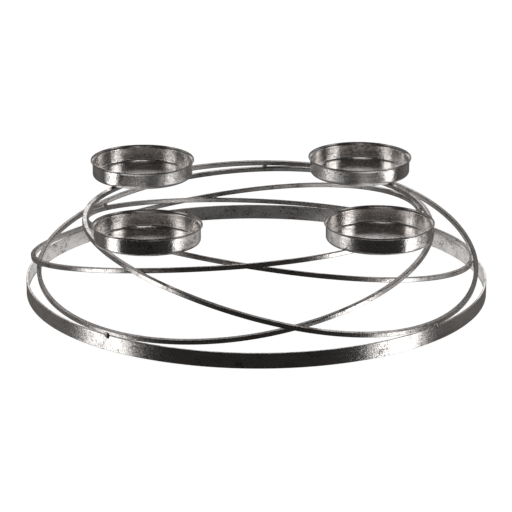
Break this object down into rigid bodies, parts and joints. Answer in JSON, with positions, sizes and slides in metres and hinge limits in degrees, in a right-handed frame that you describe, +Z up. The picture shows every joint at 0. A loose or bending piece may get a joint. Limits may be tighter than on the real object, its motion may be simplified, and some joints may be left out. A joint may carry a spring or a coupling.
{
  "type": "wreath frame",
  "caption": "Metal candle wreath frame: a round base band, tilted square-rod rings that weave over each other, and shallow round dishes for pillar candles.",
  "frame": {"origin": "on the table, at the centre of the base band", "axes": "+Z up; the dishes stand at 45, 135, 225 and 315 degrees from +X, and -Y is the front"},
  "size_m": [0.3999, 0.4, 0.0916],
  "materials": {
    "aged_silver": "antique silver, mottled and partly polished",
    "weld_metal": "antique silver over rough weld bead"
  },
  "bodies": {
    "root": {"band_seam_weld": "weld_metal", "base_band": "aged_silver", "candle_dish_back_left": "aged_silver", "candle_dish_back_right": "aged_silver", "candle_dish_front_left": "aged_silver", "candle_dish_front_right": "aged_silver", "cross_weld_back_left_on_back_right_090": "weld_metal", "cross_weld_back_left_on_front_left_000": "weld_metal", "cross_weld_back_left_on_front_right_225": "weld_metal", "cross_weld_back_right_on_front_left_135": "weld_metal", "cross_weld_back_right_on_front_right_005": "weld_metal", "cross_weld_front_right_on_back_right_188": "weld_metal", "cross_weld_front_right_on_front_left_093": "weld_metal", "cross_weld_front_right_on_front_left_273": "weld_metal", "dish_weld_back_left": "weld_metal", "dish_weld_back_right": "weld_metal", "dish_weld_front_left": "weld_metal", "dish_weld_front_right": "weld_metal", "foot_weld_back_left": "weld_metal", "foot_weld_back_right": "weld_metal", "foot_weld_front_left": "weld_metal", "foot_weld_front_right": "weld_metal", "rod_ring_back_left": "aged_silver", "rod_ring_back_right": "aged_silver", "rod_ring_front_left": "aged_silver", "rod_ring_front_right": "aged_silver"}
  },
  "joints": []
}
